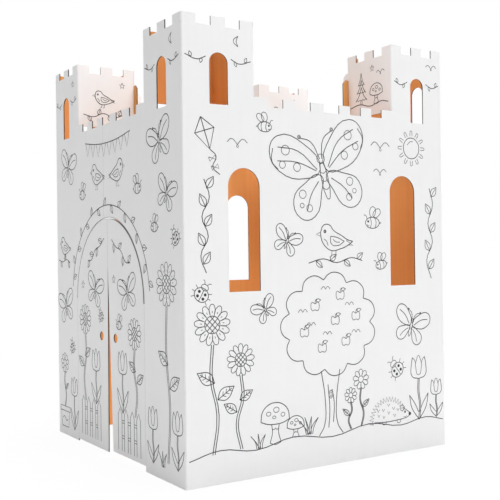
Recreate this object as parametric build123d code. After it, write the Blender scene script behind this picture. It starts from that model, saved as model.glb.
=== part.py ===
"""Cardboard play castle: white-faced corrugated board, cut and folded into four walls.

Each corner of the walls rises as a tower. Two crenellated flaps fold in from the
tower's faces, cross at its inner corner and lock there in half-lap slots. A double
door is cut into the front wall, and its leaves swing out on two scored creases.

Frame: the origin lies on the floor, under the middle of the castle. +Z is up, the
door faces -Y, and the walls with tall windows face +X and -X.
"""
from build123d import *
import os

# The board
board = 3.0                   # thickness of the corrugated board
fold_radius = 5.0             # outside of a folded corner
cut_gap = 0.5                 # between the two edges of a straight cut

# The walls
side = 813.0                  # each wall, outside to outside
wall_top = 908.0              # top of the merlons between the towers
tower_rise = 177.0            # from there to the top of the merlons on the towers
merlon_height = 22.0          # depth of every crenel

# The towers: wide at the front right and rear left corners, narrow at the others
wide_tower = 198.0
narrow_tower = 181.0
tower_merlon_count = 3        # on each face of a tower
wide_tower_window = 50.0
narrow_tower_window = 46.0
tower_window_height = 121.0
tower_sill_drop = 27.0        # from the top of the wall merlons down to the sill

# Merlons on the walls stand in from both towers and leave a gap at the middle
middle_crenel = 49.0
step_difference = 6.0         # a merlon is this much wider beside a wide tower than beside a narrow one
wall_merlon_count = 3         # beside each tower

# The flaps that close a tower
tab_reach = 20.0              # a flap runs this far past the crossing
over_tab_drop = 45.0          # from the tower's top down to the tab of the flap that lies over
under_tab_drop = 65.0         # and to the tab of the one that lies under
tab_chamfer = 10.0
slot_depth = 54.5             # of the half-lap slot in the flap that lies over, from its foot
slot_clearance = 0.5          # at each side of the board in a slot

# Tall windows in the two side walls
window_width = 88.0
window_sill = 444.0
window_top = 736.0
window_inset = 33.0           # from a tower's fold line back to the window's middle

# The double door in the front wall
door_width = 444.0
door_crown = 635.0
door_from_corner = 428.0      # middle of the door, from the front right corner
right_lift = 14.0             # the right leaf ends this far above the floor
left_lift = 6.0               # and the left leaf this far
arch_gap = 2.5                # around the arched edge of the leaves
crease_gap = 0.4              # at the scored hinge of a leaf
slit_gap = 0.5                # between the leaves, above the taper
taper_top = 505.0             # the slit widens from here down
right_taper = 24.0            # taken off the right leaf's free edge at its foot
left_taper = 8.0
finger_hole = 24.0            # diameter
finger_hole_height = 315.0
finger_hole_reach = 46.0      # from the middle of the door

# The strip that glues the ring of walls shut, inside the rear left corner
glue_strip_width = 35.0
glue_strip_foot = 12.0
glue_strip_short = 16.0       # it ends this far below the crenels

# Values that follow from these
half = side / 2
tower_top = wall_top + tower_rise
tower_sill = wall_top - tower_sill_drop
tower_window_top = tower_sill + tower_window_height
flap_foot = wall_top + cut_gap
slot_meeting = flap_foot + slot_depth
over_tab_top = tower_top - over_tab_drop
under_tab_top = tower_top - under_tab_drop
wall_steps = 2 * wall_merlon_count - 1
tower_steps = 2 * tower_merlon_count - 1
step_pair = (side - wide_tower - narrow_tower - middle_crenel) / wall_steps
wide_step = (step_pair + step_difference) / 2
narrow_step = (step_pair - step_difference) / 2
glue_strip_top = wall_top - merlon_height - glue_strip_short
door_radius = door_width / 2
door_spring = door_crown - door_radius
door_middle = half - door_from_corner
overcut = 1.0                 # a cutter runs this far past the face that it opens

# Corners in turn from the front left one, counter-clockwise from above
towers = [(narrow_tower, narrow_tower_window, narrow_step), (wide_tower, wide_tower_window, wide_step)] * 2
FRONT, RIGHT, BACK, LEFT = range(4)


def corner_frame(corner):
    """The frame of the wall that starts at a corner: x along it, y inwards, z up."""
    x, y = [(-half, -half), (half, -half), (half, half), (-half, half)][corner]
    return Pos(x, y, 0) * Rot(0, 0, 90 * corner)


def span_box(x, y, z):
    """A box from its low and high ends along each axis."""
    middle = Pos((x[0] + x[1]) / 2, (y[0] + y[1]) / 2, (z[0] + z[1]) / 2)
    return middle * Box(x[1] - x[0], y[1] - y[0], z[1] - z[0])


def plate(outline, start, along_y):
    """A sheet of board from its outline of (reach, height) points, lying in a wall of a tower."""
    if along_y:
        corners = [(start, reach, height) for reach, height in outline]
        return extrude(make_face(Polyline(*corners, close=True)), board, dir=(1, 0, 0))
    corners = [(reach, start, height) for reach, height in outline]
    return extrude(make_face(Polyline(*corners, close=True)), board, dir=(0, 1, 0))


def square_ring(width, foot, top):
    """A folded square tube of board with its corner at the origin."""
    outer = RectangleRounded(width, width, fold_radius)
    inner = RectangleRounded(width - 2 * board, width - 2 * board, fold_radius - board)
    return extrude(Pos(width / 2, width / 2, foot) * (outer - inner), top - foot)


def arch(width, sill, top, middle, depth):
    """A round-headed block between two y depths, for cutting windows or as the blank of a door."""
    reach = width / 2
    spring = top - reach
    left, right = middle - reach, middle + reach
    start = depth[0]
    foot = Polyline((left, start, spring), (left, start, sill), (right, start, sill), (right, start, spring))
    head = ThreePointArc((right, start, spring), (middle, start, top), (left, start, spring))
    return extrude(make_face(foot + head), depth[1] - start, dir=(0, 1, 0))


def crenel_spans(steps, start):
    """The (low, high) spans of the crenels in a row that starts and ends with a merlon."""
    spans = []
    for index, step in enumerate(steps):
        if index % 2:
            spans.append((start, start + step))
        start += step
    return spans


def flap_end(width, tab_top, along_y):
    """The end of a tower's flap, with the tab that reaches past the crossing."""
    reach = width + tab_reach
    outline = [
        (width - fold_radius - board, flap_foot),
        (reach, flap_foot),
        (reach, tab_top - tab_chamfer),
        (reach - tab_chamfer, tab_top),
        (width, tab_top),
        (width, tower_top),
        (width - fold_radius - board, tower_top),
    ]
    return plate(outline, width - board, along_y)


def build_tower(width):
    """The upper part of a tower, with its outer corner at the origin and its walls along x and y."""
    inner = width - board
    past = width + overcut
    slot = (inner - slot_clearance, width + slot_clearance)
    shell = square_ring(width, wall_top, tower_top)
    # a straight cut frees the foot of each flap, and the rounded inner corner makes way for the crossing
    foot_cut = (wall_top - overcut, flap_foot)
    shell -= span_box((inner - overcut, past), (fold_radius, past), foot_cut)
    shell -= span_box((fold_radius, past), (inner - overcut, past), foot_cut)
    crossing = (width - fold_radius - board, past)
    shell -= span_box(crossing, crossing, (wall_top - overcut, tower_top + overcut))
    over = flap_end(width, over_tab_top, along_y=False)
    over -= span_box(slot, (inner - overcut, past), (flap_foot - overcut, slot_meeting))
    under = flap_end(width, under_tab_top, along_y=True)
    under -= span_box((inner - overcut, past), slot, (slot_meeting, tower_top + overcut))
    shape = shell + over + under
    through = (-overcut, past)
    depth = (tower_top - merlon_height, tower_top + overcut)
    for span in crenel_spans([width / tower_steps] * tower_steps, 0):
        shape -= span_box(span, through, depth)
        shape -= span_box(through, span, depth)
    return shape


def wall_cutters(wall):
    """Everything cut out of one wall, in that wall's own frame."""
    first_width, first_window, first_step = towers[wall]
    last_width, last_window, last_step = towers[(wall + 1) % 4]
    row = [first_step] * wall_steps + [middle_crenel] + [last_step] * wall_steps
    through = (-overcut, board + overcut)
    heights = (wall_top - merlon_height, wall_top + overcut)
    cutters = [span_box(span, through, heights) for span in crenel_spans(row, first_width)]
    cutters.append(arch(first_window, tower_sill, tower_window_top, first_width / 2, through))
    cutters.append(arch(last_window, tower_sill, tower_window_top, side - last_width / 2, through))
    if wall in (RIGHT, LEFT):
        for middle in (first_width - window_inset, side - last_width + window_inset):
            cutters.append(arch(window_width, window_sill, window_top, middle, through))
    if wall == FRONT:
        cutters.append(arch(door_width, -overcut, door_crown, side - door_from_corner, through))
    return cutters


def build_body():
    """The folded walls with their towers, in one piece."""
    shape = corner_frame(FRONT) * square_ring(side, 0, wall_top)
    for corner, tower in enumerate(towers):
        shape += corner_frame(corner) * build_tower(tower[0])
    for wall in (FRONT, RIGHT, BACK, LEFT):
        for cutter in wall_cutters(wall):
            shape -= corner_frame(wall) * cutter
    strip_reach = (side - board - glue_strip_width, side - board / 2)
    strip = span_box(strip_reach, (board / 2, 2 * board), (glue_strip_foot, glue_strip_top))
    return shape + corner_frame(BACK) * strip


def build_leaf(hand, taper, lift):
    """One leaf of the door: hand is 1 for the leaf hinged at the right, -1 for the left one."""
    depth = (-half, -half + board)
    arch_width = door_width - 2 * arch_gap
    blank = arch(arch_width, lift, door_crown - arch_gap, door_middle, depth)
    hinge_edge = sorted((door_middle, door_middle + hand * (door_radius - crease_gap)))
    blank += span_box(hinge_edge, depth, (lift, door_spring))
    outline = [
        (taper, lift),
        (slit_gap / 2, taper_top),
        (slit_gap / 2, door_crown),
        (door_radius, door_crown),
        (door_radius, lift),
    ]
    corners = [(door_middle + hand * reach, -half, height) for reach, height in outline]
    leaf = blank & extrude(make_face(Polyline(*corners, close=True)), board, dir=(0, 1, 0))
    hole_middle = Pos(door_middle + hand * finger_hole_reach, -half + board / 2, finger_hole_height)
    return leaf - hole_middle * Rot(90, 0, 0) * Cylinder(finger_hole / 2, board + 2 * overcut)


nodes = {
    "castle_walls": build_body(),
    "right_door_leaf": build_leaf(1, right_taper, right_lift),
    "left_door_leaf": build_leaf(-1, left_taper, left_lift),
}

os.makedirs("parts", exist_ok=True)
for name, shape in nodes.items():
    export_step(shape, f"parts/{name}.step")
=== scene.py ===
import math

import bpy
from mathutils import Matrix, Vector


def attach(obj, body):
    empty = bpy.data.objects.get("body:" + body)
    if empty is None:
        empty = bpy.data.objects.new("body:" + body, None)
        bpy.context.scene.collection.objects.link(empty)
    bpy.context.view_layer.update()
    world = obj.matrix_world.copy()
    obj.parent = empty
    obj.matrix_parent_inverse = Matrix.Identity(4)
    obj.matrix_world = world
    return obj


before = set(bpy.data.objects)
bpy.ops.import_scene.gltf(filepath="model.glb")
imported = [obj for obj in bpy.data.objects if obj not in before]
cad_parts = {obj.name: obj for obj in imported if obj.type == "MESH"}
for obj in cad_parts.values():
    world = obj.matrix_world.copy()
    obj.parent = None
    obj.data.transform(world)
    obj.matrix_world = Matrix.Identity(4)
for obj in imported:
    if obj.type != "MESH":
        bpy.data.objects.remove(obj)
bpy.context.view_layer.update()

# The board. One sheet of single-wall corrugated board makes the whole castle. Its outer
# liner is white, its inner liner is brown kraft, and every cut shows the
# flutes between the two. It is die-cut, scored and folded, never painted.

board = 0.003                 # its thickness; the sizes of this section are in metres
flute_pitch = 0.0065
flute_swing = 0.0012          # from the middle of the board out to the liners
half = 0.4065                 # from the middle of the castle to the outside of a wall
wall_top = 0.908              # the top of the walls between the towers
tower_widths = {(-1, -1): 0.181, (1, -1): 0.198, (1, 1): 0.181, (-1, 1): 0.198}
door_middle = -0.0215
door_spring = 0.413           # the height at which the door's arch starts
arch_reach = 0.221            # from the arch's centre to the gap around the leaves
crease_place = -0.045         # the crease in the front wall, and the height it starts at
crease_foot = 0.64
worn_reach = 0.0035           # the liner is scuffed this near a fold

plane_slack = 0.0003          # a face this near the plane of a liner lies on it
flap_slack = 0.0005           # a flap's faces start this far below the walls' top
fold_reach = 0.006            # the rounded faces of a fold lie this near its corner
upright_lean = 0.02           # the most that an upright face's normal rises
square_on = 0.999             # the least that a flat face's normal points along its axis


class Wire:
    """A shader socket that takes part in arithmetic, where each step adds its Math node."""

    def __init__(self, tree, socket=None):
        self.tree = tree
        self.socket = socket

    def add(self, kind, settings=None, sockets=None, output=0):
        """Adds a node: its settings are set first, then the values or links of its sockets."""
        node = self.tree.nodes.new(kind)
        for name, value in (settings or {}).items():
            setattr(node, name, value)
        for name, value in (sockets or {}).items():
            if isinstance(value, Wire):
                self.tree.links.new(value.socket, node.inputs[name])
            else:
                node.inputs[name].default_value = value
        return Wire(self.tree, node.outputs[output])

    def work(self, operation, *values):
        return self.add("ShaderNodeMath", {"operation": operation}, dict(enumerate(values)))

    def __add__(self, other):
        return self.work("ADD", self, other)

    __radd__ = __add__

    def __mul__(self, other):
        return self.work("MULTIPLY", self, other)

    __rmul__ = __mul__

    def __sub__(self, other):
        return self.work("SUBTRACT", self, other)

    def __rsub__(self, other):
        return self.work("SUBTRACT", other, self)

    def __gt__(self, other):
        return self.work("GREATER_THAN", self, other)

    def __lt__(self, other):
        return self.work("LESS_THAN", self, other)

    def __abs__(self):
        return self.work("ABSOLUTE", self)


def blend_colours(wire, amount, first, second):
    settings = {"data_type": "RGBA"}
    return wire.add("ShaderNodeMix", settings, {0: amount, 6: first, 7: second}, 2)


def noise(wire, place, scale, detail):
    return wire.add("ShaderNodeTexNoise", None, {"Vector": place, "Scale": scale, "Detail": detail})


def stretched(wire, place, scale):
    return wire.add("ShaderNodeMapping", None, {"Vector": place, "Scale": scale})


def coordinate(wire, place, axis):
    return wire.add("ShaderNodeSeparateXYZ", None, {0: place}, axis)


def fade(wire, value, start, end):
    """1 up to the start, and from there down to 0 at the end."""
    return wire.add("ShaderNodeMapRange", None, {0: value, 1: start, 2: end, 3: 1.0, 4: 0.0})


def new_material(name):
    """A material with its shader, and the places that patterns read: in space and in the sheet."""
    material = bpy.data.materials.new(name)
    material.use_nodes = True
    wire = Wire(material.node_tree)
    surface = material.node_tree.nodes["Principled BSDF"]
    place = wire.add("ShaderNodeTexCoord", output=3)
    sheet = wire.add("ShaderNodeUVMap", {"uv_map": "sheet"})
    return material, wire, surface, place, sheet


def finish_material(wire, surface, colour, roughness, relief, depth):
    """Links colour and roughness to a shader, with the relief as a bump of some depth."""
    links = wire.tree.links
    links.new(colour.socket, surface.inputs["Base Color"])
    links.new(roughness.socket, surface.inputs["Roughness"])
    bump = wire.add("ShaderNodeBump", None, {"Strength": 1.0, "Distance": depth, "Height": relief})
    links.new(bump.socket, surface.inputs["Normal"])


def flute_wave(wire, along):
    return wire.work("SINE", along * (2 * math.pi / flute_pitch))


def sheet_relief(wire, sheet):
    """The flutes that tell through a liner, and the wider upright bands between them."""
    bands = noise(wire, stretched(wire, sheet, (75.0, 1.6, 1.0)), 1.0, 2.0)
    return flute_wave(wire, coordinate(wire, sheet, 0)), bands


def front_crease_and_arch_shade(wire, place):
    """The crease over the door, a dent with painted shade in it, and a dark band along the arch's
    right-hand part: painted shadow of the gap round the leaf, over liner crushed by the cut.
    """
    across, depth, height = [coordinate(wire, place, axis) for axis in range(3)]
    in_front = depth < board - half
    crease_dent_and_shade = fade(wire, abs(across - crease_place), 0.0004, 0.0016)
    over_door = height > crease_foot
    spoke = wire.add("ShaderNodeCombineXYZ", None, {0: across - door_middle, 2: height - door_spring})
    reach = wire.add("ShaderNodeVectorMath", {"operation": "LENGTH"}, {0: spoke}, 1)
    arch_shadow_and_bruise = fade(wire, abs(reach - arch_reach), 0.0024, 0.0042)
    arched = height > door_spring
    on_right = 1 - fade(wire, across - door_middle, -0.06, 0.09)
    return crease_dent_and_shade * over_door * in_front, arch_shadow_and_bruise * arched * on_right * in_front


def white_liner():
    """Bleached liner: faint mottling, fine grain, flutes that just tell through, worn folds, and upright
    bands darkened in colour as painted washboard shade.
    """
    bleached, mottled, band_tone_and_shade = (0.89, 0.89, 0.89, 1), (0.86, 0.86, 0.863, 1), (0.835, 0.835, 0.838, 1)
    # the dark grey is painted shade, for the crease over the door and the gap along the arch
    scuffed, shade_and_bruise_grey = (0.72, 0.71, 0.7, 1), (0.2, 0.2, 0.2, 1)
    material, wire, surface, place, sheet = new_material("white_liner")
    mottle = noise(wire, place, 9.0, 4.0)
    grain = noise(wire, place, 900.0, 2.0)
    flutes, bands = sheet_relief(wire, sheet)
    colour = blend_colours(wire, mottle, mottled, bleached)
    # Painted shade: the upright bands darken the colour where the washboard would be shaded; the bump shows
    # them as well.
    colour = blend_colours(wire, bands * 0.6, colour, band_tone_and_shade)
    fold = abs(coordinate(wire, sheet, 0)) > half - worn_reach
    scuff = noise(wire, place, 160.0, 4.0) > 0.6
    colour = blend_colours(wire, fold * scuff * 0.25, colour, scuffed)
    # Painted shade: the crease and a band beside the arch are darkened towards the dark grey, and dented in
    # the relief too.
    crease_dent_and_shade, arch_shadow_and_bruise = front_crease_and_arch_shade(wire, place)
    colour = blend_colours(wire, crease_dent_and_shade * 0.25 + arch_shadow_and_bruise * 0.9, colour, shade_and_bruise_grey)
    relief = flutes * 0.25 + grain * 0.35 + bands * 1.6 - crease_dent_and_shade * 3.0 - arch_shadow_and_bruise * 2.0
    finish_material(wire, surface, colour, grain * 0.1 + 0.62, relief, 0.00006)
    return material


def kraft_liner():
    """Brown kraft liner: darker fibres, and upright bands where the flutes tell through, darkened in colour
    as painted washboard shade.
    """
    kraft_light, kraft_dark = (0.85, 0.438, 0.148, 1), (0.77, 0.368, 0.113, 1)
    band_tone_and_shade, fibrous = (0.58, 0.245, 0.06, 1), (0.5, 0.2, 0.05, 1)
    material, wire, surface, place, sheet = new_material("kraft_liner")
    flutes, bands = sheet_relief(wire, sheet)
    cloud = noise(wire, place, 14.0, 5.0)
    fibre = noise(wire, stretched(wire, sheet, (900.0, 130.0, 1.0)), 1.0, 3.0)
    colour = blend_colours(wire, cloud, kraft_dark, kraft_light)
    # Painted shade: the bands, and faintly the flutes, darken the colour as the washboard's shade; the bump
    # shows them as well.
    colour = blend_colours(wire, bands * 0.55 + flutes * 0.05, colour, band_tone_and_shade)
    colour = blend_colours(wire, fibre * 0.3, colour, fibrous)
    relief = flutes * 0.4 + fibre * 0.3 + bands * 1.2
    finish_material(wire, surface, colour, cloud * 0.1 + 0.75, relief, 0.00008)
    return material


def cut_edge():
    """The cut through the board: two liners with the wave of the flute between them, and the hollows
    between them painted near-black as shade.
    """
    paper_light, paper_dark = (0.22, 0.175, 0.14, 1), (0.13, 0.10, 0.08, 1)
    flute_hollow_shade = (0.022, 0.019, 0.016, 1)
    paper_reach = 0.0003
    material, wire, surface, place, sheet = new_material("cut_edge")
    along, depth = coordinate(wire, sheet, 0), coordinate(wire, sheet, 1)
    on_flute = abs(depth - flute_wave(wire, along) * flute_swing) < paper_reach
    on_liner = abs(depth) > flute_swing
    paper = wire.work("MAXIMUM", on_flute, on_liner)
    fuzz = noise(wire, place, 700.0, 2.0)
    # Painted shade: the hollows between the flute and the liners are coloured near-black.
    colour = blend_colours(wire, paper, flute_hollow_shade, blend_colours(wire, fuzz, paper_dark, paper_light))
    finish_material(wire, surface, colour, fuzz * 0.1 + 0.8, paper + fuzz * 0.2, 0.0004)
    return material


board_finishes = [white_liner(), kraft_liner(), cut_edge()]
ON_WHITE, ON_KRAFT, ON_CUT = range(3)


def tower_at(spot):
    """The middle and width of the tower over which a high point lies."""
    corner = (1 if spot.x > 0 else -1, 1 if spot.y > 0 else -1)
    width = tower_widths[corner]
    inset = half - width / 2
    return Vector((corner[0] * inset, corner[1] * inset, 0)), width


def sheet_depths(spot):
    """How deep a point lies in each sheet that could hold it, as {axis: depth from its middle}."""
    wall, glue_strip, flap = half, half - board, half - tower_at(spot)[1] + board
    depths = {}
    for axis in (0, 1):
        for face in (wall, flap, glue_strip):
            inside = face - abs(spot[axis])
            is_there = face != flap or spot.z > wall_top - flap_slack
            if is_there and -plane_slack <= inside <= board + plane_slack:
                depths[axis] = inside - board / 2
                break
    return depths


def dress_board(node):
    """Gives each face of a node its liner or cut edge, and a map along and through the board."""
    mesh = node.data
    mesh.materials.clear()
    for finish in board_finishes:
        mesh.materials.append(finish)
    layout = mesh.uv_layers.new(name="sheet")
    for face in mesh.polygons:
        spot, normal = face.center, face.normal
        middle = tower_at(spot)[0] if spot.z > wall_top else Vector()
        outwards = (normal.x * (spot.x - middle.x) + normal.y * (spot.y - middle.y)) > 0
        depths = sheet_depths(spot)
        upright = abs(normal.z) < upright_lean
        flat_axis = next((a for a in (0, 1) if abs(normal[a]) > square_on), None)
        on_liner = flat_axis in depths and abs(abs(depths[flat_axis]) - board / 2) < 2 * plane_slack
        near_fold = min(half - abs(spot.x), half - abs(spot.y)) < fold_reach
        on_fold = upright and flat_axis is None and near_fold
        corners = [(loop, mesh.vertices[mesh.loops[loop].vertex_index].co) for loop in face.loop_indices]
        if on_liner or on_fold:
            face.material_index = ON_WHITE if outwards else ON_KRAFT
            run = 1 if abs(normal.x) > abs(normal.y) else 0
            for loop, corner in corners:
                layout.data[loop].uv = (corner[run], corner.z)
        else:
            face.material_index = ON_CUT
            through = min(depths, key=lambda a: abs(normal[a])) if depths else 0
            run = 2 if upright else 1 - through
            for loop, corner in corners:
                inside = depths.get(through, 0.0) + abs(spot[through]) - abs(corner[through])
                layout.data[loop].uv = (corner[run], inside)


for name in ("castle_walls", "right_door_leaf", "left_door_leaf"):
    dress_board(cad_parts[name])

# The drawings to colour in. The sheet is printed before it is cut, with thin
# dark grey lines and no fills. They are generic meadow pictures: trees,
# flowers, butterflies, birds and mushrooms, laid out afresh on each panel.

mm = 0.001                    # the drawings are laid out in millimetres
ink_reach = 0.001             # half the width of a printed line
ink_lift = 0.00012            # the ink's middle stands this far off the board
ink_flatness = 0.1            # the ink's height over its width
thin_line = 0.7               # the width of a short stroke's line, as a share of the full one
thick_line = 1.15             # and of a long stroke's
thick_span = 150              # the span in which a stroke's line would gain one width
curve_steps = 4               # straight pieces between two points of a curve


def curve(*points):
    return [(list(points), False, "AUTO")]


def straight(*points):
    return [(list(points), False, "VECTOR")]


def loop(*points):
    return [(list(points), True, "AUTO")]


def oval(x, y, across, high=None):
    high = high or across
    turns = [k * math.pi / 4 for k in range(8)]
    return loop(*[(x + across * math.cos(a), y + high * math.sin(a)) for a in turns])


def dot(x, y, reach):
    """A spot filled with rings, each one line inside the last."""
    ring_step, least_ring = 1.5, 0.4
    rings = []
    while reach > least_ring:
        rings += oval(x, y, reach)
        reach -= ring_step
    return rings


def placed(strokes, x=0.0, y=0.0, size=1.0, turn=0.0, flip=False):
    """A copy of some strokes, mirrored first, then sized, turned in degrees and moved."""
    cos, sin = math.cos(math.radians(turn)), math.sin(math.radians(turn))
    side = -size if flip else size
    moved = []
    for points, closed, kind in strokes:
        spots = []
        for u, v in points:
            spots.append((x + side * u * cos - size * v * sin, y + side * u * sin + size * v * cos))
        moved.append((spots, closed, kind))
    return moved


def both_sides(strokes):
    return strokes + placed(strokes, flip=True)


def around(strokes, count, start=0.0):
    return [s for k in range(count) for s in placed(strokes, turn=start + 360 * k / count)]


def sized(height, *points):
    """Points that are given as shares of a drawing's height."""
    return [(x * height, y * height) for x, y in points]


ink = bpy.data.materials.new("printed_line")
ink.use_nodes = True
wire = Wire(ink.node_tree)
place = wire.add("ShaderNodeTexCoord", output=3)
patchy = noise(wire, place, 120.0, 3.0)
grain = noise(wire, place, 1600.0, 1.0)
tone = blend_colours(wire, patchy, (0.016, 0.016, 0.018, 1), (0.05, 0.05, 0.053, 1))
ink_surface = ink.node_tree.nodes["Principled BSDF"]
finish_material(wire, ink_surface, tone, patchy * 0.15 + 0.55, grain, 0.00002)


def print_panel(name, strokes, corner, across, body):
    """Prints strokes on a panel: corner is its lower left one, seen from its printed side."""
    shape = bpy.data.curves.new(name, "CURVE")
    shape.dimensions = "3D"
    shape.bevel_depth = ink_reach
    shape.bevel_resolution = 0
    shape.use_fill_caps = True
    for points, closed, kind in strokes:
        span = max(math.dist(points[0], spot) for spot in points)
        line = shape.splines.new("BEZIER")
        line.bezier_points.add(len(points) - 1)
        line.use_cyclic_u = closed
        line.resolution_u = 1 if kind == "VECTOR" else curve_steps
        for knot, (u, v) in zip(line.bezier_points, points):
            knot.co = (u * mm, v * mm, 0)
            knot.radius = min(thick_line, thin_line + span / thick_span)
            knot.handle_left_type = knot.handle_right_type = kind
    drawing = bpy.data.objects.new(name, shape)
    bpy.context.scene.collection.objects.link(drawing)
    bpy.ops.object.select_all(action="DESELECT")
    drawing.select_set(True)
    bpy.context.view_layer.objects.active = drawing
    bpy.ops.object.convert(target="MESH")
    bpy.ops.object.mode_set(mode="EDIT")
    bpy.ops.mesh.select_all(action="SELECT")
    bpy.ops.transform.resize(value=(1, 1, ink_flatness), center_override=(0, 0, 0))
    bpy.ops.mesh.normals_make_consistent(inside=False)
    bpy.ops.object.mode_set(mode="OBJECT")
    right, up = Vector(across), Vector((0, 0, 1))
    outwards = right.cross(up)
    turn = Matrix((right, up, outwards)).transposed().to_4x4()
    drawing.matrix_world = Matrix.Translation(Vector(corner) + outwards * ink_lift) @ turn
    bpy.ops.object.transform_apply(location=True, rotation=True, scale=True)
    drawing.data.materials.clear()
    drawing.data.materials.append(ink)
    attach(drawing, body)


# The right-hand wall. Its print is a meadow: an apple tree stands between the two tall
# windows, under a big butterfly, with sunflowers, mushrooms and a hedgehog beside it.
# Each wall's drawing is one piece of ink on the outer liner.

side_mm = 813
garland_height, garland_sag = 990, 9
sky_height = 1034
meadow = [(9, 62), (90, 78), (190, 66), (300, 84), (420, 70), (540, 88), (650, 72), (740, 84), (804, 71)]


def leaf(length, width, veined=True):
    """A leaf that points along +x from its stem; a very short one has no middle line."""
    edge_line = curve((0, 0), (length * 0.4, width / 2), (length, 0))
    veins = []
    for k in (0.3, 0.5, 0.7) if veined else ():
        veins += curve((length * k, 0), (length * (k + 0.12), width * 0.26))
    middle = curve((0, 0), (length * 0.85, 0)) if length > 16 else []
    return edge_line + veins + placed(edge_line + veins, flip=True, turn=180) + middle


def blossom(petals, reach, heart):
    """Petals round a heart; those of a big blossom have a middle line."""
    wide = math.pi / petals
    root = (heart * math.cos(wide), heart * math.sin(wide))
    bulge = (reach * 0.78 * math.cos(wide * 0.9), reach * 0.78 * math.sin(wide * 0.9))
    petal = curve((root[0], -root[1]), (bulge[0], -bulge[1]), (reach, 0), bulge, root)
    if reach > 45:
        petal += curve((heart * 1.25, 0), (reach * 0.68, 0))
    return around(petal, petals, 90) + oval(0, 0, heart * 0.92)


def lattice(reach):
    """Crossed lines that fill the heart of a sunflower."""
    lines = []
    for off in (-0.5, 0, 0.5):
        chord = reach * math.sqrt(1 - off * off)
        lines += straight((off * reach, -chord), (off * reach, chord))
    return placed(lines, turn=45) + placed(lines, turn=-45)


def stalk(height, sway=12, wide=3):
    lines = []
    for d in (-wide, wide):
        lines += curve((d, 0), (d + sway, height * 0.35), (d - sway * 0.4, height * 0.7), (d, height))
    return lines


def sunflower(height, reach):
    head = blossom(13, reach, reach * 0.46) + lattice(reach * 0.42)
    blade = leaf(reach * 1.1, reach * 0.6)
    drawing = stalk(height - reach * 0.95) + placed(head, y=height)
    return drawing + placed(blade, 12, height * 0.42, turn=32) + placed(blade, 4, height * 0.55, turn=150)


def tulip(height):
    petal = curve((0, 0), (24, 8), (26, 40), (22, 58)) + curve((22, 58), (14, 50), (10, 40))
    near_petal = curve((-12, 38), (-6, 54), (0, 62), (6, 54), (12, 38))
    near_petal += curve((-12, 38), (0, 10), (12, 38))
    blade = curve((0, 0), (26, height * 0.3), (34, height * 0.62))
    blade += curve((34, height * 0.62), (12, height * 0.36), (2, 20))
    return stalk(height, 4, 2.2) + placed(both_sides(petal) + near_petal, y=height) + both_sides(blade)


def daisy(height, reach):
    drawing = stalk(height - reach * 0.9, 8, 1.6) + placed(blossom(9, reach, reach * 0.34), y=height)
    return drawing + placed(leaf(30, 13), 4, height * 0.4, turn=40)


def scallops(across, high, count):
    """The bumpy outline of a tree's crown."""
    bulge = 1.16
    steps = [(0.0, 1.0), (0.25, bulge * 0.97), (0.5, bulge), (0.75, bulge * 0.97), (1.0, 1.0)]
    arcs = []
    for k in range(count):
        spots = []
        for step, out in steps:
            a = 2 * math.pi * (k + step) / count
            spots.append((across * out * math.cos(a), high * out * math.sin(a)))
        arcs += curve(*spots)
    return arcs


def apple_tree(height):
    """An apple tree, 0.75 as wide as it is high."""
    drawn_height = 420        # the apples and leaves are drawn for a tree of this height
    apples = [(-0.19, 0.62), (-0.06, 0.52), (0.12, 0.55), (0.2, 0.7)]
    apples += [(0.04, 0.68), (-0.11, 0.77), (0.08, 0.83)]
    leaves = [(-0.02, 0.6), (0.2, 0.6), (-0.2, 0.74), (-0.03, 0.87), (0.15, 0.77), (-0.14, 0.66)]
    drawing = placed(scallops(height * 0.31, height * 0.27, 11), y=height * 0.66)
    drawing += both_sides(curve(*sized(height, (0.09, 0), (0.05, 0.06), (0.042, 0.2), (0.07, 0.385))))
    drawing += curve((-8, 18), (-4, 60), (-9, height * 0.3))
    drawing += curve((7, 30), (10, 80), (4, height * 0.27))
    drawing += placed(oval(0, 0, 6, 10) + oval(0, 0, 3, 6), y=height * 0.24)
    apple = loop((0, 7), (9, 11), (13, 2), (8, -10), (0, -8), (-8, -10), (-13, 2), (-9, 11))
    apple += curve((0, 7), (1, 14), (5, 19)) + placed(leaf(15, 8, False), 3, 14, turn=10)
    for x, y in apples:
        drawing += placed(apple, x * height, y * height, height / drawn_height)
    foliage = curve((-14, 0), (-7, 7), (0, 0)) + curve((0, 0), (7, 7), (14, 0))
    for x, y in leaves:
        drawing += placed(foliage, x * height, y * height, height / drawn_height)
    return drawing


def butterfly(spots=True):
    """A butterfly about 200 wide. One without spots has fewer lines on its wings."""
    wing = loop((6, 12), (30, 62), (78, 84), (100, 62), (88, 26), (40, 4))
    wing += loop((6, 2), (44, -4), (72, -24), (66, -58), (36, -62), (12, -24))
    wing += curve((14, -6), (36, -26), (50, -50))
    body = oval(0, -8, 7, 32) + oval(0, 30, 8)
    if spots:
        wing += curve((12, 14), (44, 52), (82, 66)) + curve((14, 12), (50, 34), (88, 44))
        for y, reach in ((8, 6), (-6, 7), (-20, 6)):
            body += curve((-reach, y), (0, y - 3), (reach, y))
        wing += oval(68, 58, 8) + oval(80, 36, 6) + oval(52, 26, 7)
        wing += oval(52, -20, 7) + oval(44, -46, 6) + oval(58, -38, 4)
        wing += curve((92, 66), (99, 46), (90, 30))
    else:
        wing += curve((14, 13), (48, 44), (84, 58))
    wing += curve((2, 30), (14, 62), (34, 72)) + dot(35, 74, 3)
    return both_sides(wing) + body


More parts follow.
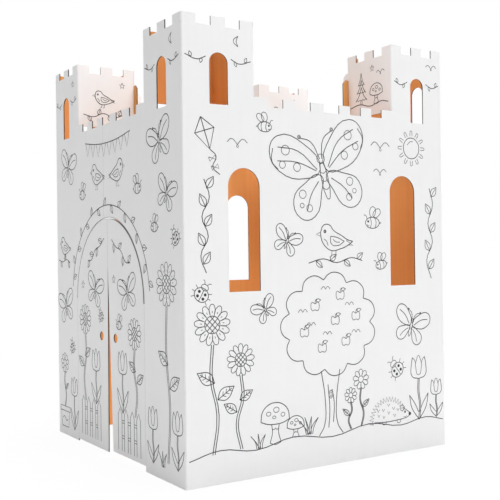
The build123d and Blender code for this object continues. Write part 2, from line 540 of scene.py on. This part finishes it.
def bird():
    """A plump perched bird, about 90 wide, that looks to the left."""
    drawing = curve((-38, 18), (-30, 34), (-12, 36), (2, 22), (26, 10), (44, 0), (60, -4))
    drawing += curve((60, -4), (44, -14), (22, -22), (-6, -26), (-28, -12), (-37, 6), (-38, 18))
    drawing += straight((-38, 18), (-52, 13), (-37, 8)) + dot(-25, 20, 3.4)
    drawing += curve((-8, 8), (10, 6), (34, -4)) + curve((-8, 8), (-6, -10), (14, -14), (34, -4))
    drawing += curve((-1, 1), (8, -5), (20, -6)) + straight((40, -2), (62, -14), (46, -12))
    drawing += straight((-4, -26), (-6, -40), (-12, -42)) + straight((8, -25), (7, -40), (1, -42))
    return drawing + curve((-28, 2), (-20, -4), (-16, -14))


def flying_bird():
    drawing = curve((-40, 8), (-24, 20), (-6, 8), (0, 0)) + curve((0, 0), (6, 8), (24, 20), (40, 8))
    return drawing + curve((0, 0), (-3, -6), (3, -8), (4, -1))


def mushroom(tall):
    drawing = curve((-52, 0), (-46, 30), (-22, 50), (0, 54), (22, 50), (46, 30), (52, 0))
    drawing += curve((-52, 0), (-26, -9), (0, -11), (26, -9), (52, 0))
    drawing += both_sides(curve((14, -10), (11, -34 * tall), (20, -66 * tall)))
    drawing += curve((-20, -66 * tall), (0, -72 * tall), (20, -66 * tall))
    drawing += curve((-13, -22), (-6, -27), (0, -22)) + curve((0, -22), (6, -27), (13, -22))
    return drawing + oval(-24, 22, 8, 6) + oval(4, 32, 10, 8) + oval(28, 16, 7, 6) + oval(-4, 10, 6, 4)


def hedgehog():
    """About 150 wide; it walks to the right."""
    drawing = curve((52, 34), (66, 26), (80, 12), (70, 4), (50, 0)) + dot(80, 13, 4.4) + dot(60, 21, 3)
    drawing += oval(48, 34, 8, 9) + curve((66, 8), (60, 4), (54, 7)) + curve((-66, 0), (-20, -3), (50, 0))
    spines, count = [], 17
    for k in range(count + 1):
        a = math.pi * (0.13 + 0.9 * k / count)
        spines.append((-8 + 62 * math.cos(a), 62 * math.sin(a) * 0.95))
        b = math.pi * (0.13 + 0.9 * (k + 0.5) / count)
        if k < count:
            spines.append((-8 + 78 * math.cos(b + 0.03), 78 * math.sin(b + 0.03) * 0.95))
    drawing += straight(*spines)
    ticks = [(-48, 14), (-30, 30), (-28, 8), (-8, 44), (-8, 20), (12, 32), (16, 10), (30, 26), (-50, 30)]
    for x, y in ticks:
        drawing += straight((x - 4, y + 9), (x, y), (x + 5, y + 8))
    drawing += curve((-34, 0), (-32, -9), (-20, -8), (-18, 0))
    return drawing + curve((26, 0), (28, -9), (40, -8), (42, 0))


def ladybird():
    drawing = oval(0, 0, 24, 20) + oval(0, 24, 12, 9) + curve((0, 17), (1, 0), (0, -20))
    drawing += both_sides(dot(11, 6, 3.6) + dot(10, -8, 3.6))
    legs = curve((20, 12), (30, 18)) + curve((24, 0), (34, 0)) + curve((20, -12), (29, -19))
    return drawing + both_sides(curve((5, 32), (9, 40), (15, 42)) + legs)


def bee():
    drawing = oval(0, 0, 26, 16) + curve((-8, 15), (-4, 0), (-8, -15)) + curve((10, 15), (14, 0), (10, -15))
    drawing += dot(-16, 4, 2.6) + curve((-20, -5), (-16, -9), (-12, -8))
    drawing += loop((-2, 16), (-8, 40), (6, 46), (12, 30)) + loop((4, 16), (16, 40), (30, 36), (20, 18))
    return drawing + curve((-20, 12), (-26, 22), (-32, 22)) + straight((26, 2), (34, 0), (26, -3))


def grass(count=4, height=46):
    drawing = []
    for k in range(count):
        off = k - (count - 1) / 2
        lean = off * 13
        tall = height * (1 - 0.1 * abs(off))
        drawing += curve((lean * 0.3, 0), (lean * 0.6, tall * 0.5), (lean * 1.6, tall))
        drawing += curve((lean * 1.6, tall), (lean * 0.7 + 4, tall * 0.45), (lean * 0.3 + 7, 0))
    return drawing


def sun(reach):
    ray = curve((reach * 1.2, -4), (reach * 1.7, 0), (reach * 1.2, 4))
    gleam = curve((-reach * 0.5, reach * 0.3), (-reach * 0.15, reach * 0.62), (reach * 0.2, reach * 0.66))
    return oval(0, 0, reach) + around(ray, 12) + gleam


def moon(reach):
    return curve((0, reach), (-reach, 0), (0, -reach)) + curve((0, reach), (-reach * 0.35, 0), (0, -reach))


def kite():
    drawing = straight((0, 46), (30, 10), (0, -40), (-30, 10), (0, 46))
    drawing += straight((0, 46), (0, -40)) + straight((-30, 10), (30, 10))
    drawing += curve((0, -40), (12, -62), (-6, -86), (8, -110))
    for y in (-64, -88):
        drawing += straight((-10, y + 6), (10, y - 6), (10, y + 6), (-10, y - 6), (-10, y + 6))
    return drawing


def vine(route, leaf_size):
    """A climbing stem through some points, with leaves to either side; only big ones have veins."""
    drawing = curve(*route)
    for k in range(len(route) - 1):
        (x0, y0), (x1, y1) = route[k], route[k + 1]
        run = math.degrees(math.atan2(y1 - y0, x1 - x0))
        side = 1 if k % 2 else -1
        sprig = leaf(leaf_size, leaf_size * 0.55, leaf_size > 40)
        drawing += placed(sprig, (x0 + x1) / 2, (y0 + y1) / 2, turn=run + 52 * side)
    return drawing


def tower_face(middle, width, sky):
    """Two garlands that hang beside a tower's window, under a star, moon or bird."""
    first, low, last = 34, 56, width / 2 - 10
    route = [(first, garland_height), (low, garland_height - garland_sag), (last, garland_height)]
    garland = vine(route, 13)
    return placed(both_sides(garland), middle) + placed(sky, middle + 54, sky_height, 0.8)


def tower_pair(left_width, right_width, left_sky, right_sky):
    left = tower_face(left_width / 2, left_width, left_sky)
    return left + tower_face(side_mm - right_width / 2, right_width, right_sky)


left_window_vine = vine([(60, 490), (46, 530), (66, 574), (50, 620), (70, 664), (56, 706)], 34)
right_window_vine = vine([(768, 460), (752, 510), (774, 560), (758, 610), (776, 660), (764, 706)], 34)
right_wall = curve(*meadow) + placed(apple_tree(420), 416, 76)
right_wall += placed(sunflower(300, 48), 74, 70) + placed(sunflower(210, 38), 150, 74, flip=True)
right_wall += placed(mushroom(1.0), 246, 130, 0.8) + placed(mushroom(0.7), 306, 108, 0.5)
right_wall += placed(hedgehog(), 614, 88, 0.85) + placed(tulip(110), 716, 80)
right_wall += placed(tulip(84), 780, 80, 0.72) + placed(daisy(120, 26), 514, 86)
right_wall += placed(daisy(86, 20), 480, 82, flip=True)
right_wall += placed(butterfly(), 404, 726, 1.48, 14) + placed(butterfly(False), 286, 560, 0.42, -24)
right_wall += placed(butterfly(False), 690, 330, 0.62, -18) + placed(butterfly(False), 222, 396, 0.36, 30)
right_wall += placed(bee(), 560, 610, 0.9) + placed(bee(), 226, 838, 0.75, flip=True)
right_wall += placed(bee(), 588, 500, 0.7, 12) + placed(sun(28), 700, 812)
right_wall += placed(flying_bird(), 590, 806, 0.8) + placed(flying_bird(), 588, 740, 0.55)
right_wall += placed(kite(), 62, 810, 0.9, 18) + placed(flying_bird(), 148, 790, 0.7)
right_wall += placed(ladybird(), 46, 440, 0.8, -30) + left_window_vine + right_window_vine
right_wall += placed(bird(), 430, 566, 1.05)
right_wall += vine([(352, 508), (398, 518), (440, 508), (488, 520), (524, 512)], 26)
right_wall += placed(ladybird(), 640, 220, 0.9, 40) + placed(grass(), 344, 84)
right_wall += placed(grass(3, 36), 196, 68)
right_wall += tower_pair(198, 181, moon(16), placed(flying_bird(), size=0.6))
print_panel("right_wall_drawing", right_wall, (half, -half, 0), (0, 1, 0), "castle")

# The front wall. A garland follows the arch of the door, under bunting and two
# birds, and flowers stand on the strips of board at the door's sides.

front_corner = (-half, -half, 0)
door_middle_mm = round((door_middle + half) / mm)
door_spring_mm = round(door_spring / mm)
garland_reach, garland_knots = 256, 16


def star(reach):
    spots = []
    for k in range(11):
        out = reach if k % 2 == 0 else reach * 0.42
        spots.append((out * math.sin(k * math.pi / 5), out * math.cos(k * math.pi / 5)))
    return straight(*spots)


def bunting(width, flags):
    """A sagging line of pennants."""
    sag = 14

    def on_line(share):
        return width * share, -4 * sag * share * (1 - share)

    drawing = curve(*[on_line(share) for share in (0, 0.25, 0.5, 0.75, 1)])
    for k in range(flags):
        start, end = (k + 0.12) / flags, (k + 0.88) / flags
        x, y = on_line((start + end) / 2)
        drawing += straight(on_line(start), (x, y - width / flags * 0.95), on_line(end))
    return drawing


def flower_pot(flower):
    drawing = straight((-26, 0), (-34, 46), (34, 46), (26, 0), (-26, 0))
    drawing += straight((-38, 46), (-38, 60), (38, 60), (38, 46), (-38, 46))
    return drawing + placed(flower, y=60) + curve((-20, 24), (-10, 30), (0, 24), (10, 18), (20, 24))


garland_route = []
for k in range(garland_knots + 1):
    a = math.pi * (0.96 - 0.92 * k / garland_knots)
    across, up = garland_reach * math.cos(a), garland_reach * math.sin(a)
    garland_route.append((door_middle_mm + across, door_spring_mm + up))
front_wall = vine(garland_route, 27) + placed(bunting(300, 8), 236, 850)
front_wall += placed(bird(), 316, 752, 0.9) + placed(bird(), 454, 752, 0.9, flip=True)
front_wall += placed(butterfly(False), 100, 790, 0.62, -14) + placed(butterfly(False), 700, 800, 0.62, 16)
front_wall += placed(bee(), 210, 706, 0.8) + placed(bee(), 576, 700, 0.8, flip=True)
front_wall += placed(sunflower(420, 52), 728, 44) + placed(tulip(90), 648, 30, 0.9)
front_wall += placed(tulip(90), 776, 36, 0.9) + placed(grass(3, 38), 698, 30)
front_wall += placed(flower_pot(daisy(130, 30)), 56, 24) + placed(tulip(110), 130, 24, 0.9)
front_wall += placed(ladybird(), 122, 264, 0.7, 24) + placed(butterfly(False), 74, 380, 0.6, 12)
front_wall += placed(bird(), 66, 560, 0.8) + vine([(16, 522), (48, 516), (80, 523), (108, 514)], 22)
front_wall += placed(ladybird(), 778, 570, 0.75, 30) + placed(butterfly(False), 732, 674, 0.5, -20)
front_wall += placed(bee(), 668, 600, 0.7) + tower_pair(181, 198, star(12), moon(16))
print_panel("front_wall_drawing", front_wall, front_corner, (1, 0, 0), "castle")

# The back wall. It has neither door nor tall windows, so its print is one wide
# picture: firs at both sides of an apple tree, with kites and birds above.


def fir(height):
    """A fir of three tiers, each with a hem of two dips at either side."""
    dip = 0.035
    drawing = []
    for foot, top, reach in ((0.12, 0.55, 0.27), (0.36, 0.78, 0.21), (0.6, 1.0, 0.15)):
        slope = sized(height, (0, top), (reach * 0.4, foot + (top - foot) * 0.4), (reach, foot))
        outer_hem = sized(height, (reach, foot), (reach * 0.72, foot + dip), (reach * 0.5, foot))
        inner_hem = sized(height, (reach * 0.5, foot), (reach * 0.25, foot + dip), (0, foot))
        drawing += both_sides(curve(*slope) + curve(*outer_hem) + curve(*inner_hem))
    return drawing + both_sides(straight(*sized(height, (0.035, 0), (0.035, 0.12))))


back_wall = curve(*meadow)
for x, tall in ((92, 300), (226, 200), (587, 200), (721, 300)):
    back_wall += placed(fir(tall), x, 76)
back_wall += placed(apple_tree(380), 407, 74) + placed(hedgehog(), 330, 86, 0.52, flip=True)
back_wall += placed(mushroom(1.0), 492, 124, 0.66) + placed(kite(), 120, 740, 1.1, 14)
back_wall += placed(kite(), 690, 740, 1.1, -12) + placed(sun(34), 407, 730)
flock = [(250, 640, 0.9), (290, 730, 0.7), (560, 660, 0.9)]
flock += [(530, 740, 0.7), (190, 560, 0.8), (640, 580, 0.8)]
for x, y, size in flock:
    back_wall += placed(flying_bird(), x, y, size)
back_wall += placed(butterfly(False), 130, 490, 0.6, 20) + placed(butterfly(False), 690, 490, 0.6, -20)
back_wall += placed(bunting(260, 7), 278, 866) + tower_pair(181, 198, moon(16), star(12))
print_panel("back_wall_drawing", back_wall, (half, half, 0), (-1, 0, 0), "castle")

# The left-hand wall. Sunflowers grow under its two tall windows, and a picket fence
# with tulips behind it runs between them, under three butterflies.


def picket_fence(width, height, count):
    drawing, pitch = [], width / count
    for k in range(count):
        x, w = pitch * (k + 0.2), pitch * 0.6
        shoulder = height * 0.84
        drawing += straight((x, 0), (x, shoulder), (x + w / 2, height), (x + w, shoulder), (x + w, 0))
    for k in range(count - 1):
        for y in (0.3, 0.36, 0.66, 0.72):
            drawing += straight((pitch * (k + 0.8), height * y), (pitch * (k + 1.2), height * y))
    return drawing


left_wall = curve(*meadow) + placed(picket_fence(330, 150, 9), 242, 88)
for x, tall, reach in ((60, 300, 46), (156, 240, 38), (660, 280, 42), (754, 230, 38)):
    left_wall += placed(sunflower(tall, reach), x, 72)
for x, tall in ((280, 110), (343, 80), (407, 110), (470, 80), (534, 110)):
    left_wall += placed(tulip(tall), x, 244, 0.9)
left_wall += placed(butterfly(), 407, 580, 1.2, -10) + placed(butterfly(False), 290, 760, 0.7, 18)
left_wall += placed(butterfly(), 524, 760, 0.7, -18) + placed(bee(), 407, 800, 0.9)
left_wall += placed(bee(), 262, 470, 0.8) + placed(ladybird(), 552, 470, 0.9, -30)
left_wall += vine([(56, 470), (42, 520), (62, 570), (46, 620), (66, 670), (52, 710)], 34)
left_wall += placed(bird(), 110, 790, 0.8) + right_window_vine + placed(bird(), 700, 790, 0.8, flip=True)
left_wall += tower_pair(198, 181, star(12), placed(flying_bird(), size=0.6))
print_panel("left_wall_drawing", left_wall, (-half, half, 0), (0, -1, 0), "castle")

# The door's two leaves. Each is printed with the front wall, and swings on a scored crease
# at its outer side. Flowers stand between the pickets of a fence, under a short vine.

right_leaf = placed(picket_fence(150, 110, 4), 436, 26) + placed(sunflower(210, 40), 548.5, 124)
right_leaf += placed(tulip(100), 473.5, 124) + placed(butterfly(False), 510, 434, 0.56, 14)
right_leaf += placed(bee(), 454, 350, 0.65) + placed(star(12), 424, 470)
right_leaf += vine([(412, 576), (440, 556), (470, 546), (500, 516), (528, 514)], 26)
print_panel("right_leaf_drawing", right_leaf, front_corner, (1, 0, 0), "right_leaf")

left_leaf = placed(picket_fence(150, 110, 4), 184, 26) + placed(sunflower(230, 42), 221.5, 124, flip=True)
left_leaf += placed(tulip(90), 296.5, 124) + placed(butterfly(False), 295, 435, 0.56, -16)
left_leaf += placed(ladybird(), 336, 366, 0.6, 20) + placed(star(12), 208, 452)
left_leaf += vine([(360, 580), (332, 560), (300, 550), (272, 522), (246, 520)], 26)
print_panel("left_leaf_drawing", left_leaf, front_corner, (1, 0, 0), "left_leaf")

# The flaps of the four towers. Two fold in from each tower's faces and lock in half-lap
# slots. One is printed with a bird on a vine, the other with a fir beside a mushroom.

perch = vine([(18, 944), (48, 938), (80, 950), (112, 940), (144, 950)], 20)
perch += placed(bird(), 78, 992, 0.62) + placed(star(9), 140, 1036)
garden = curve((10, 938), (50, 944), (96, 934), (140, 942), (168, 936)) + placed(fir(88), 58, 943)
garden += placed(mushroom(0.8), 120, 966, 0.5) + placed(star(9), 104, 1036)
garden += placed(flying_bird(), 138, 1018, 0.4)

for (sx, sy), width in tower_widths.items():
    tower_name = ("back" if sy > 0 else "front") + "_" + ("right" if sx > 0 else "left")
    inner = half - width
    crossing = Vector((sx * inner, sy * inner, 0))
    perch_ends = [Vector((sx * inner, sy * half, 0)), crossing]
    garden_ends = [crossing, Vector((sx * half, sy * inner, 0))]
    for kind, drawing, outwards, ends in (
        ("perch", perch, Vector((-sx, 0, 0)), perch_ends),
        ("garden", garden, Vector((0, -sy, 0)), garden_ends),
    ):
        across = Vector((0, 0, 1)).cross(outwards)
        start = min(ends, key=across.dot)
        print_panel(f"{tower_name}_{kind}_drawing", drawing, start, across, "castle")

# The studio. A broad white floor under a white surround, lit by four large softboxes.
# The floor keeps the castle's shadow. None of this is part of the castle.

floor_width, floor_drop = 40, 0.0005
floor_grey = (0.6, 0.6, 0.6, 1)
white_near = 0.925            # how white the floor looks under the middle of the castle
white_gain = 0.03             # and its gain in every metre from there
surround_light = 0.2          # the light of the surround, where the camera sees 1
softbox_width = 3.0

bpy.ops.object.select_all(action="DESELECT")
bpy.ops.mesh.primitive_plane_add(size=floor_width, location=(0, 0, -floor_drop))
floor = bpy.context.object
floor.name = "studio_floor"
paint = bpy.data.materials.new("studio_white")
paint.use_nodes = True
wire = Wire(paint.node_tree)
coat = paint.node_tree.nodes["Principled BSDF"]
coat.inputs["Base Color"].default_value = floor_grey
coat.inputs["Roughness"].default_value = 0.9
seen = wire.add("ShaderNodeLightPath", output=0)
glow = wire.add("ShaderNodeEmission", None, {"Strength": 1.0})
lit = Wire(paint.node_tree, coat.outputs[0])
spot = wire.add("ShaderNodeTexCoord", output=3)
away = wire.add("ShaderNodeVectorMath", {"operation": "LENGTH"}, {0: spot}, 1)
gain = {"operation": "MULTIPLY_ADD", "use_clamp": True}
far = wire.add("ShaderNodeMath", gain, {0: away, 1: white_gain, 2: white_near})
mixed = wire.add("ShaderNodeMixShader", None, {0: seen * far, 1: lit, 2: glow})
paint.node_tree.links.new(mixed.socket, paint.node_tree.nodes["Material Output"].inputs["Surface"])
floor.data.materials.append(paint)

world = bpy.data.worlds.new("studio")
bpy.context.scene.world = world
world.use_nodes = True
wire = Wire(world.node_tree)
seen = wire.add("ShaderNodeLightPath", output=0)
surround = world.node_tree.nodes["Background"]
surround.inputs["Color"].default_value = (1, 1, 1, 1)
strength = seen * (1 - surround_light) + surround_light
world.node_tree.links.new(strength.socket, surround.inputs["Strength"])


def softbox(name, place, aim, power):
    lamp = bpy.data.lights.new(name, "AREA")
    lamp.shape = "SQUARE"
    lamp.size = softbox_width
    lamp.energy = power
    holder = bpy.data.objects.new(name, lamp)
    bpy.context.scene.collection.objects.link(holder)
    holder.location = place
    holder.rotation_euler = (Vector(aim) - Vector(place)).to_track_quat("-Z", "Y").to_euler()


softbox("top_softbox", (0.4, 0.15, 4.45), (0, 0, 0), 400)
softbox("right_softbox", (4.8, 0.5, 1.5), (0, 0, 0.5), 49)
softbox("front_left_softbox", (-3, -4, 2.4), (0, 0, 0.5), 50)
softbox("rear_left_softbox", (-3.6, 3.4, 2.6), (0, 0, 0.5), 60)

# The camera. It stands off the castle's front right corner, level with the tall windows.
# Its place and directions are those of a pinhole camera fitted to the photograph.

camera_place = (2.12862, -1.32709, 0.53172)
ahead = Vector((-0.84268907, 0.53837707, 0.00502645))
level = Vector((0.53828537, 0.84266519, -0.01281563))
above = Vector((0.01113526, 0.00809393, 0.99990524))

camera_data = bpy.data.cameras.new("camera")
camera_data.sensor_width = 36.0
camera_data.lens = 62.0
camera_data.clip_end = 100
camera = bpy.data.objects.new("camera", camera_data)
bpy.context.scene.collection.objects.link(camera)
turn = Matrix((level, above, -ahead)).transposed()
camera.matrix_world = Matrix.Translation(camera_place) @ turn.to_4x4()
bpy.context.scene.camera = camera
bpy.context.scene.view_settings.view_transform = "Standard"
